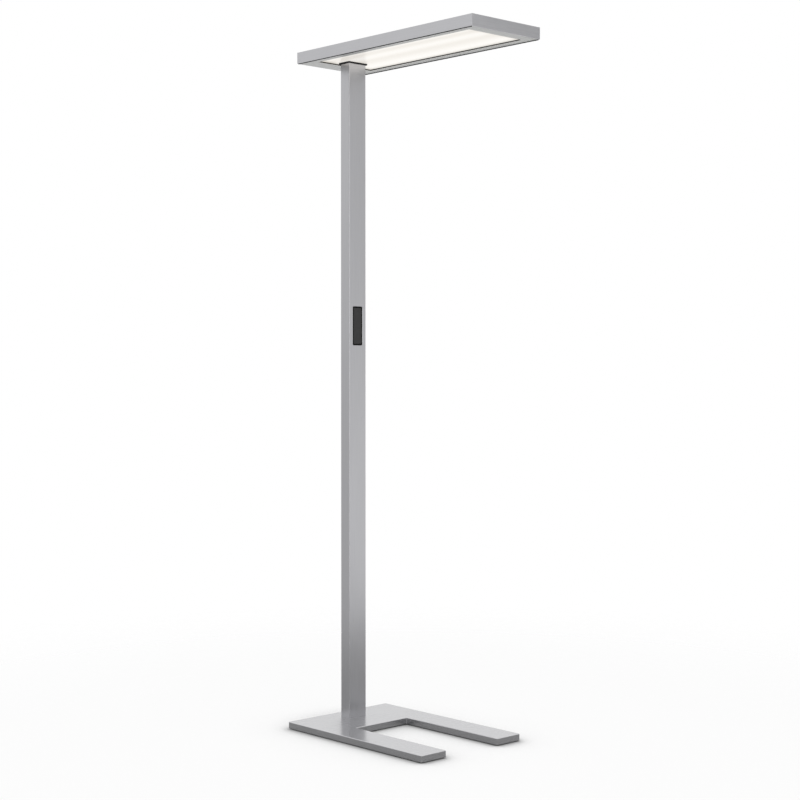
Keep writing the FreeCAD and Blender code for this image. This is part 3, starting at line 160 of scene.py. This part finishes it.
plasticLooks = {
    # Glass-filled nylon surround: near black, sandy matt.
    "glassFilledNylon": {"dark": "#101010", "light": "#161616", "grainMm": 0.6, "mottleMm": 9, "ior": 1.53,
                         "specular": 0.1, "roughness": (0.5, 0.6), "bump": 0.2, "reliefMm": 0.03},
    # Light grey powder coat of the folded frame round the pane: satin, with a fine orange peel.
    "powderCoat": {"dark": "#E0E1DF", "light": "#E6E7E5", "grainMm": 1.5, "mottleMm": 25, "ior": 1.5,
                   "specular": 0.5, "roughness": (0.3, 0.38), "bump": 0.15, "reliefMm": 0.03},
    # ABS rocker: dark grey with a fine leathery mould grain that catches a soft light.
    "mouldedAbs": {"dark": "#2D2D2D", "light": "#353535", "grainMm": 0.8, "mottleMm": 12, "ior": 1.54,
                   "specular": 0.4, "roughness": (0.42, 0.52), "bump": 0.25, "reliefMm": 0.04},
    # Polycarbonate inlet: black, slightly glossier than the surround.
    "blackPolycarbonate": {"dark": "#141414", "light": "#1B1B1B", "grainMm": 0.5, "mottleMm": 8, "ior": 1.585,
                           "specular": 0.5, "roughness": (0.35, 0.45), "bump": 0.12, "reliefMm": 0.02},
    # EPDM rubber of seals and collar: black, dull, a little uneven.
    "epdmRubber": {"dark": "#161616", "light": "#202020", "grainMm": 1.2, "mottleMm": 15, "ior": 1.5,
                   "specular": 0.4, "roughness": (0.7, 0.85), "bump": 0.2, "reliefMm": 0.05},
    # Wool felt of the glides: charcoal with a loose fibre clump of about 1.5 mm.
    "woolFelt": {"dark": "#101010", "light": "#1F1F1F", "grainMm": 1.5, "mottleMm": 5, "ior": 1.45,
                 "specular": 0.3, "roughness": (0.9, 1.0), "bump": 0.6, "reliefMm": 0.3},
    # White solder mask of the light boards over glass cloth of about 0.5 mm pitch.
    "solderMask": {"dark": "#E2E4E0", "light": "#ECEEEA", "grainMm": 0.5, "mottleMm": 10, "ior": 1.5,
                   "specular": 0.5, "roughness": (0.35, 0.45), "bump": 0.1, "reliefMm": 0.02},
    # Polyamide driver case and terminal block: off-white, satin.
    "whitePolyamide": {"dark": "#D9D8D3", "light": "#E4E3DE", "grainMm": 0.7, "mottleMm": 14, "ior": 1.53,
                       "specular": 0.5, "roughness": (0.45, 0.55), "bump": 0.15, "reliefMm": 0.02},
    # PVC lead jackets: black, waxy.
    "pvcJacket": {"dark": "#1A1A1A", "light": "#242424", "grainMm": 1.0, "mottleMm": 20, "ior": 1.53,
                  "specular": 0.5, "roughness": (0.45, 0.55), "bump": 0.1, "reliefMm": 0.02},
}


# Opal acrylic, lit from behind: three light strips run the pane's length and show as broad soft bands.
# Place and level of each band from the near edge to the far edge, as shares of the pane's width.
paneLook = {"bands": ((0.0, 0.95), (0.04, 1.0), (0.2, 0.88), (0.37, 0.975), (0.55, 0.89), (0.85, 0.99),
                      (1.0, 0.94)),
            "glow": "#FFFCF7", "shade": "#F8F2E8", "shadeBelow": 0.85, "strength": 0.78, "body": "#5A5956",
            "ior": 1.49, "roughness": 0.3, "specular": 0.3, "endFadeMm": 45, "endLevel": 0.9,
            "frostMm": 0.8, "bump": 0.05, "reliefMm": 0.02}


def litAcrylic(name, node, look):
    material, tree = newMaterial(name)
    low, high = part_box(node)
    place = addNode(tree, "ShaderNodeTexCoord")
    split = addNode(tree, "ShaderNodeSeparateXYZ", links={"Vector": place.outputs["Object"]})
    across = addNode(tree, "ShaderNodeMapRange", values={"From Min": low[1], "From Max": high[1]},
                     links={"Value": split.outputs["Y"]})
    ramp = addNode(tree, "ShaderNodeValToRGB", links={"Fac": across.outputs["Result"]})
    ramp.color_ramp.interpolation = "EASE"
    steps = ramp.color_ramp.elements
    for _ in look["bands"][2:]:
        steps.new(0.5)
    for step, (spot, level) in zip(steps, look["bands"]):
        step.position = spot
        step.color = (level, level, level, 1.0)
    # the strips end short of the frame, so the pane dims a little towards both ends
    middle = (low[0] + high[0]) / 2
    fromMiddle = addNode(tree, "ShaderNodeMath", settings={"operation": "SUBTRACT"}, values={1: middle},
                         links={0: split.outputs["X"]})
    distance = addNode(tree, "ShaderNodeMath", settings={"operation": "ABSOLUTE"},
                       links={0: fromMiddle.outputs[0]})
    halfLength = (high[0] - low[0]) / 2
    fade = addNode(tree, "ShaderNodeMapRange", settings={"interpolation_type": "SMOOTHSTEP"},
                   values={"From Min": halfLength - look["endFadeMm"] / 1000, "From Max": halfLength,
                           "To Min": 1.0, "To Max": look["endLevel"]},
                   links={"Value": distance.outputs[0]})
    level = addNode(tree, "ShaderNodeMath", settings={"operation": "MULTIPLY"},
                    links={0: ramp.outputs["Color"], 1: fade.outputs["Result"]})
    tint = addNode(tree, "ShaderNodeMapRange", values={"From Min": look["shadeBelow"], "From Max": 1.0},
                   links={"Value": level.outputs[0]})
    glow = addNode(tree, "ShaderNodeMix", settings={"data_type": "RGBA"},
                   values={6: fromHex(look["shade"]), 7: fromHex(look["glow"])},
                   links={0: tint.outputs["Result"]})
    strength = addNode(tree, "ShaderNodeMath", settings={"operation": "MULTIPLY"},
                       values={1: look["strength"]}, links={0: level.outputs[0]})
    frost = grainNoise(tree, (look["frostMm"],) * 3)
    bump = addNode(tree, "ShaderNodeBump",
                   values={"Strength": look["bump"], "Distance": look["reliefMm"] / 1000},
                   links={"Height": frost.outputs["Fac"]})
    shader = addNode(tree, "ShaderNodeBsdfPrincipled",
                     values={"Base Color": fromHex(look["body"]), "Roughness": look["roughness"],
                             "IOR": look["ior"], "Specular IOR Level": look["specular"]},
                     links={"Emission Color": glow.outputs[2], "Emission Strength": strength.outputs[0],
                            "Normal": bump.outputs["Normal"]})
    finishMaterial(tree, shader)
    return material


# Satin acrylic of the uplight windows: milky white with a faint glow of the boards below.
uplightLook = {"milk": "#E9E9E4", "cream": "#EFEEE8", "glow": "#FFF9EE", "strength": 0.08, "frostMm": 0.8,
               "ior": 1.49, "roughness": (0.3, 0.4)}


def satinAcrylic(name, look):
    material, tree = newMaterial(name)
    frost = grainNoise(tree, (look["frostMm"],) * 3)
    colour = addNode(tree, "ShaderNodeMix", settings={"data_type": "RGBA"},
                     values={6: fromHex(look["milk"]), 7: fromHex(look["cream"])},
                     links={0: frost.outputs["Fac"]})
    rough = spread(tree, frost.outputs["Fac"], *look["roughness"])
    shader = addNode(tree, "ShaderNodeBsdfPrincipled",
                     values={"IOR": look["ior"], "Emission Color": fromHex(look["glow"]),
                             "Emission Strength": look["strength"]},
                     links={"Base Color": colour.outputs[2], "Roughness": rough.outputs["Result"]})
    finishMaterial(tree, shader)
    return material


brushedSteel = grainedMetal("brushedStainlessSteel", steelLook)
columnAluminium = grainedMetal("anodisedAluminiumColumn",
                               {**anodisedLook, "grainMm": (0.9, 0.9, 90), "grainAxis": (0, 0, 1)})
sideAluminium = grainedMetal("anodisedAluminiumSides",
                             {**anodisedLook, "grainMm": (90, 0.9, 0.9), "grainAxis": (1, 0, 0)})
endAluminium = grainedMetal("anodisedAluminiumEnds",
                            {**anodisedLook, "grainMm": (0.9, 90, 0.9), "grainAxis": (0, 1, 0)})
zincSteel = grainedMetal("zincPlatedSteel", zincLook)
nickelBrass = grainedMetal("nickelPlatedBrass", nickelLook)
plastics = {name: mouldedPlastic(name, look) for name, look in plasticLooks.items()}
opalAcrylic = litAcrylic("opalAcrylic", "diffuser_pane", paneLook)
uplightAcrylic = satinAcrylic("satinAcrylic", uplightLook)

wearers = {
    brushedSteel: ("base_plate",),
    columnAluminium: ("column_profile", "column_foot"),
    sideAluminium: ("left_rail", "right_rail", "top_cover"),
    endAluminium: ("front_rail", "rear_rail", "corner_key_front_right", "corner_key_front_left",
                   "corner_key_rear_left", "corner_key_rear_right"),
    zincSteel: ("head_bracket", "gear_tray", "base_bolts", "foot_screws", "inlet_screws", "board_screws",
                "column_top_screws", "bracket_screws", "tray_screws", "driver_screws", "cover_screws",
                "rocker_pin"),
    nickelBrass: ("inlet_blades",),
    opalAcrylic: ("diffuser_pane",),
    uplightAcrylic: ("uplight_pane_left", "uplight_pane_right"),
    plastics["powderCoat"]: ("diffuser_frame",),
    plastics["glassFilledNylon"]: ("control_bezel",),
    plastics["mouldedAbs"]: ("dimmer_rocker",),
    plastics["blackPolycarbonate"]: ("mains_inlet",),
    plastics["epdmRubber"]: ("column_collar", "pane_seal_lower", "pane_seal_upper", "switch_mat"),
    plastics["woolFelt"]: ("base_glides",),
    plastics["solderMask"]: ("control_board", "down_board_left", "down_board_middle", "down_board_right",
                             "up_board_left", "up_board_right"),
    plastics["whitePolyamide"]: ("led_driver", "terminal_block"),
    plastics["pvcJacket"]: ("mains_lead", "control_lead", "driver_lead", "board_leads", "board_links"),
}
for material, names in wearers.items():
    for name in names:
        mesh = nodes[name].data
        mesh.materials.clear()
        mesh.materials.append(material)
print("materials given to", sum(len(names) for names in wearers.values()), "nodes")


# below the first angle a corner is shaded round, and only past the second one does an edge get its bevel
roundBelow = math.radians(35)
bevelPast = math.radians(50)


def pickOnly(*objects):
    bpy.ops.object.select_all(action="DESELECT")
    for item in objects:
        item.select_set(True)
    bpy.context.view_layer.objects.active = objects[0]


def applyPlace(item):
    pickOnly(item)
    bpy.ops.object.transform_apply(location=True, rotation=True, scale=True)


# a hexagon socket is cut into the head with a six-sided prism
def cutSocket(head, look, top):
    bpy.ops.mesh.primitive_cylinder_add(vertices=6, radius=look["socket"] / math.sqrt(3),
                                        depth=2 * look["socketDepth"], location=(0, 0, top))
    prism = bpy.context.object
    pickOnly(head)
    cutter = head.modifiers.new("socket", "BOOLEAN")
    cutter.operation = "DIFFERENCE"
    cutter.object = prism
    bpy.ops.object.modifier_apply(modifier=cutter.name)
    bpy.data.objects.remove(prism)


def selectFaces(item, wanted):
    bpy.ops.object.mode_set(mode="EDIT")
    bpy.ops.mesh.select_all(action="DESELECT")
    bpy.ops.object.mode_set(mode="OBJECT")
    for face in item.data.polygons:
        face.select = wanted(face)
    bpy.ops.object.mode_set(mode="EDIT")


# screws with their drive sockets are modelled once for each kind and copied to every place: this one stands
# on the origin, its head's top at zero and its shank pointing down
def makeScrew(name, look):
    bpy.ops.object.select_all(action="DESELECT")
    drop = look["headHeight"]
    bpy.ops.mesh.primitive_cylinder_add(vertices=36, radius=look["head"] / 2, depth=drop,
                                        location=(0, 0, -drop / 2))
    screw = bpy.context.object
    screw.name = name
    applyPlace(screw)
    selectFaces(screw, lambda face: face.normal.z < -0.9)
    share = look["shank"] / look["head"]
    if look["sunk"]:
        bpy.ops.transform.resize(value=(share, share, 1), center_override=(0, 0, -drop))
    else:
        bpy.ops.mesh.inset(thickness=(look["head"] - look["shank"]) / 2)
    bpy.ops.mesh.extrude_region_move(TRANSFORM_OT_translate={"value": (0, 0, drop - look["length"])})
    bpy.ops.object.mode_set(mode="OBJECT")
    cutSocket(screw, look, 0)
    pickOnly(screw)
    rounding = screw.modifiers.new("edges", "BEVEL")
    rounding.width = look["edge"]
    rounding.segments = 2
    rounding.angle_limit = bevelPast
    bpy.ops.object.modifier_apply(modifier=rounding.name)
    bpy.ops.object.shade_smooth_by_angle(angle=roundBelow)
    return screw


# centres of a grid of screws, from the node's box and the head's size
def gridSpots(node, plane, headSize, counts):
    low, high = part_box(node)
    rows = []
    for axis, count in zip(plane, counts):
        first = low[axis] + headSize / 2
        last = high[axis] - headSize / 2
        if count > 1:
            rows.append([first + (last - first) * i / (count - 1) for i in range(count)])
        else:
            rows.append([(low[axis] + high[axis]) / 2])
    return [(a, b) for a in rows[0] for b in rows[1]]


# sizes in metres, as the screws of the frame have them; each kind faces up, down or to the rear
screwKinds = {
    "coverScrewsCut": {"node": "cover_screws", "faces": "up", "counts": (3, 2),
                       "head": 0.0055, "shank": 0.003,
                       "headHeight": 0.00125, "length": 0.006, "socket": 0.002, "socketDepth": 0.0011,
                       "edge": 0.0001, "sunk": True},
    "footScrewsCut": {"node": "foot_screws", "faces": "rear", "counts": (1, 2),
                      "head": 0.0076, "shank": 0.004,
                      "headHeight": 0.0018, "length": 0.014, "socket": 0.0025, "socketDepth": 0.0015,
                      "edge": 0.0001, "sunk": True},
    "inletScrewsCut": {"node": "inlet_screws", "faces": "rear", "counts": (2, 1),
                       "head": 0.0055, "shank": 0.003,
                       "headHeight": 0.00125, "length": 0.007, "socket": 0.002, "socketDepth": 0.0011,
                       "edge": 0.0001, "sunk": True},
    "baseBoltsCut": {"node": "base_bolts", "faces": "down", "counts": (2, 2), "head": 0.013, "shank": 0.008,
                     "headHeight": 0.008, "length": 0.038, "socket": 0.006, "socketDepth": 0.004,
                     "edge": 0.0003, "sunk": False},
}
for name, kind in screwKinds.items():
    pattern = makeScrew(f"{name}Pattern", kind)
    low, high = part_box(kind["node"])
    plane = (1, 2) if kind["faces"] == "rear" else (0, 1)
    copies = []
    for first, second in gridSpots(kind["node"], plane, kind["head"], kind["counts"]):
        copy = pattern.copy()
        copy.data = pattern.data.copy()
        bpy.context.collection.objects.link(copy)
        if kind["faces"] == "up":
            copy.location = (first, second, high[2])
        elif kind["faces"] == "down":
            copy.rotation_euler = (math.pi, 0, 0)
            copy.location = (first, second, low[2])
        else:
            copy.rotation_euler = (0, -math.pi / 2, 0)
            copy.location = (low[0], first, second)
        applyPlace(copy)
        copies.append(copy)
    bpy.data.objects.remove(pattern)
    pickOnly(*copies)
    if len(copies) > 1:
        bpy.ops.object.join()
    screws = bpy.context.object
    screws.name = name
    screws.data.materials.clear()
    screws.data.materials.append(zincSteel)
    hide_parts(kind["node"])
    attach(screws, "stand")
    print("screws:", name, len(copies))


# A thin black strip runs along each long side of the head, at the joint with the frame of the pane. It is a
# dark piece that paints the shade of the shadow gap there, so the dark line under the side is painted shade.
# Sizes in metres.
paintedShadowStripLook = {"width": 0.003, "drop": 0.0016, "edge": 0.0006, "fromSide": 0.0004, "fromEnd": 0.0035}


# lays one black strip under one long side of the head: a dark piece standing in for the shade of the shadow
# gap, i.e. painted shade
def makePaintedShadowStrip(name, side, look):
    low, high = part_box(f"{side}_rail")
    facing = 1 if side == "left" else -1
    outer = high[1] if side == "left" else low[1]
    middle = outer - facing * (look["fromSide"] + look["width"] / 2)
    bpy.ops.object.select_all(action="DESELECT")
    bpy.ops.mesh.primitive_cube_add(size=1, location=(0, middle, low[2] - look["drop"] / 2))
    paintedShadowStrip = bpy.context.object
    paintedShadowStrip.name = name
    paintedShadowStrip.scale = (high[0] - low[0] - 2 * look["fromEnd"], look["width"], look["drop"])
    applyPlace(paintedShadowStrip)
    rounding = paintedShadowStrip.modifiers.new("edges", "BEVEL")
    rounding.width = look["edge"]
    rounding.segments = 3
    bpy.ops.object.modifier_apply(modifier=rounding.name)
    bpy.ops.object.shade_smooth_by_angle(angle=roundBelow)
    # the black rubber colour of the strip is painted shade for the shadow gap
    paintedShadowStrip.data.materials.append(plastics["epdmRubber"])
    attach(paintedShadowStrip, "stand")


makePaintedShadowStrip("leftPaintedShadowStrip", "left", paintedShadowStripLook)
makePaintedShadowStrip("rightPaintedShadowStrip", "right", paintedShadowStripLook)
print("edge beads laid along both sides")


# one for rays from the camera, and for what metal and glass mirror or let through
def seenByEye(tree, seen):
    mirrored = addNode(tree, "ShaderNodeMath", settings={"operation": "MAXIMUM"},
                       links={0: seen.outputs["Is Camera Ray"], 1: seen.outputs["Is Glossy Ray"]})
    return addNode(tree, "ShaderNodeMath", settings={"operation": "MAXIMUM"},
                   links={0: mirrored.outputs[0], 1: seen.outputs["Is Transmission Ray"]}).outputs[0]


# a paper floor that takes the lamp's real shadow, plus a painted contact shadow: its own light lifts it to
# white for the camera alone, an occlusion mask dims that lift near the lamp, and away from the lamp it thins
# out, so that eye, metal and pane see the white room behind it; distances in metres
floorLook = {"size": 12, "paint": "#B0B0B0", "lift": 0.6, "rise": -0.0002, "fullTo": 0.9, "goneAt": 2.6,
             "fibreMm": 3, "bump": 0.05, "reliefMm": 0.1, "roughness": 0.9, "paintedShadowReach": 0.22,
             "paintedShadowPower": 4, "paintedShadowSamples": 8}


def studioFloor(look):
    bpy.ops.object.select_all(action="DESELECT")
    bpy.ops.mesh.primitive_plane_add(size=look["size"], location=(0, 0, look["rise"]))
    floor = bpy.context.object
    floor.name = "studioFloor"
    material, tree = newMaterial("paperSweep")
    fibre = grainNoise(tree, (look["fibreMm"],) * 3)
    relief = addNode(tree, "ShaderNodeBump",
                     values={"Strength": look["bump"], "Distance": look["reliefMm"] / 1000},
                     links={"Height": fibre.outputs["Fac"]})
    paper = addNode(tree, "ShaderNodeBsdfPrincipled",
                    values={"Base Color": fromHex(look["paint"]), "Roughness": look["roughness"],
                            "Specular IOR Level": 0.0},
                    links={"Normal": relief.outputs["Normal"]})
    seen = addNode(tree, "ShaderNodeLightPath")
    # near the plate an ambient-occlusion mask dims the lift steeply: painted shadow, added on top of the real
    # shadow on the paper
    paintedShadowMask = addNode(tree, "ShaderNodeAmbientOcclusion", settings={"samples": look["paintedShadowSamples"]},
                       values={"Distance": look["paintedShadowReach"]})
    paintedShadowDeepened = addNode(tree, "ShaderNodeMath", settings={"operation": "POWER"},
                       values={1: look["paintedShadowPower"]}, links={0: paintedShadowMask.outputs["AO"]})
    share = addNode(tree, "ShaderNodeMath", settings={"operation": "MULTIPLY"},
                    links={0: paintedShadowDeepened.outputs[0], 1: seen.outputs["Is Camera Ray"]})
    strength = addNode(tree, "ShaderNodeMath", settings={"operation": "MULTIPLY"}, values={1: look["lift"]},
                       links={0: share.outputs[0]})
    lift = addNode(tree, "ShaderNodeEmission", links={"Strength": strength.outputs[0]})
    near = addNode(tree, "ShaderNodeAddShader", links={0: paper.outputs[0], 1: lift.outputs[0]})
    place = addNode(tree, "ShaderNodeTexCoord")
    distance = addNode(tree, "ShaderNodeVectorMath", settings={"operation": "LENGTH"},
                       links={0: place.outputs["Object"]})
    thin = addNode(tree, "ShaderNodeMapRange", settings={"interpolation_type": "SMOOTHSTEP"},
                   values={"From Min": look["fullTo"], "From Max": look["goneAt"]},
                   links={"Value": distance.outputs["Value"]})
    fade = addNode(tree, "ShaderNodeMath", settings={"operation": "MULTIPLY"},
                   links={0: thin.outputs["Result"], 1: seenByEye(tree, seen)})
    clear = addNode(tree, "ShaderNodeBsdfTransparent")
    both = addNode(tree, "ShaderNodeMixShader",
                   links={0: fade.outputs[0], 1: near.outputs[0], 2: clear.outputs[0]})
    finishMaterial(tree, both)
    floor.data.materials.append(material)


# The room is white to the camera. Metal mirrors a white backdrop behind the lamp that falls off to the
# sides: each part of the room lies at a compass angle and a rise, fades in between two cosines and adds to
# the level.
worldLook = {"diffuseLevel": 0.78, "mirrorLevel": 0.58,
             "parts": ({"angle": 137, "rise": 10, "from": 0.3, "to": 0.9, "adds": 0.42},
                       {"angle": 223, "rise": 25, "from": 0.86, "to": 0.97, "adds": 0.3},
                       {"angle": 43, "rise": 0, "from": 0.6, "to": 0.9, "adds": 0.3},
                       {"angle": 60, "rise": 12, "from": 0.951, "to": 0.9703, "adds": -0.6},
                       {"angle": 0, "rise": 90, "from": 0.3, "to": 0.65, "adds": 0.5})}


def studioWorld(look):
    world = bpy.data.worlds.new("studioWorld")
    bpy.context.scene.world = world
    world.use_nodes = True
    tree = world.node_tree
    tree.nodes.clear()
    way = addNode(tree, "ShaderNodeTexCoord").outputs["Generated"]
    start = addNode(tree, "ShaderNodeValue")
    start.outputs[0].default_value = look["mirrorLevel"]
    level = start.outputs[0]
    for part in look["parts"]:
        angle, rise = math.radians(part["angle"]), math.radians(part["rise"])
        heading = (math.cos(angle) * math.cos(rise), math.sin(angle) * math.cos(rise), math.sin(rise))
        toward = addNode(tree, "ShaderNodeVectorMath", settings={"operation": "DOT_PRODUCT"},
                         values={1: heading}, links={0: way})
        share = addNode(tree, "ShaderNodeMapRange", settings={"interpolation_type": "SMOOTHSTEP"},
                        values={"From Min": part["from"], "From Max": part["to"],
                                "To Max": part["adds"]},
                        links={"Value": toward.outputs["Value"]})
        total = addNode(tree, "ShaderNodeMath", settings={"operation": "ADD"},
                        links={0: share.outputs["Result"], 1: level})
        level = total.outputs[0]
    seen = addNode(tree, "ShaderNodeLightPath")
    white = {"Color": (1, 1, 1, 1)}
    room = addNode(tree, "ShaderNodeBackground", values={**white, "Strength": look["diffuseLevel"]})
    mirrored = addNode(tree, "ShaderNodeBackground", values=white, links={"Strength": level})
    backdrop = addNode(tree, "ShaderNodeBackground", values={**white, "Strength": 1.0})
    withMirror = addNode(tree, "ShaderNodeMixShader",
                         links={0: seenByEye(tree, seen), 1: room.outputs[0], 2: mirrored.outputs[0]})
    withCamera = addNode(tree, "ShaderNodeMixShader",
                         links={0: seen.outputs["Is Camera Ray"], 1: withMirror.outputs[0],
                                2: backdrop.outputs[0]})
    addNode(tree, "ShaderNodeOutputWorld", links={"Surface": withCamera.outputs[0]})


# Each softbox stands at its place and looks at its target; sides in metres, power in watts. The front
# strip is only mirrored, for the long highlights on edges. The overhead one only lights, so that metal that
# faces up doesn't clip.
softboxes = {
    "overheadSoftbox": {"place": (0.2, -0.3, 3.9), "target": (0, 0, 0.5), "width": 3.6, "height": 3.6,
                        "power": 20, "lights": True, "mirrored": False},
    "frontSoftbox": {"place": (4.9, -4.6, 1.1), "target": (0, 0, 1.1), "width": 1.6, "height": 4.8,
                     "power": 48, "lights": False, "mirrored": True},
}


def addSoftbox(name, look):
    lamp = bpy.data.lights.new(name, "AREA")
    lamp.shape = "RECTANGLE"
    lamp.size = look["width"]
    lamp.size_y = look["height"]
    lamp.energy = look["power"]
    lightObject = bpy.data.objects.new(name, lamp)
    bpy.context.collection.objects.link(lightObject)
    lightObject.location = look["place"]
    aim = Vector(look["target"]) - Vector(look["place"])
    lightObject.rotation_euler = aim.to_track_quat("-Z", "Y").to_euler()
    lightObject.visible_diffuse = look["lights"]
    lightObject.visible_glossy = look["mirrored"]


# the photograph's viewpoint, from the lamp's corners: place in metres, angles in degrees
cameraLook = {"place": (3.26627, -3.0800, 1.03817), "yaw": 137.175, "pitch": -1.14, "lens": 72.22}


def addCamera(look):
    data = bpy.data.cameras.new("photoCamera")
    data.lens = look["lens"]
    data.sensor_width = 36
    data.clip_end = 100
    camera = bpy.data.objects.new("photoCamera", data)
    bpy.context.collection.objects.link(camera)
    camera.location = look["place"]
    camera.rotation_euler = (math.radians(90 + look["pitch"]), 0, math.radians(look["yaw"] - 90))
    bpy.context.scene.camera = camera


studioFloor(floorLook)
studioWorld(worldLook)
for name, look in softboxes.items():
    addSoftbox(name, look)
addCamera(cameraLook)
bpy.context.scene.view_settings.view_transform = "Standard"
print("stage set")
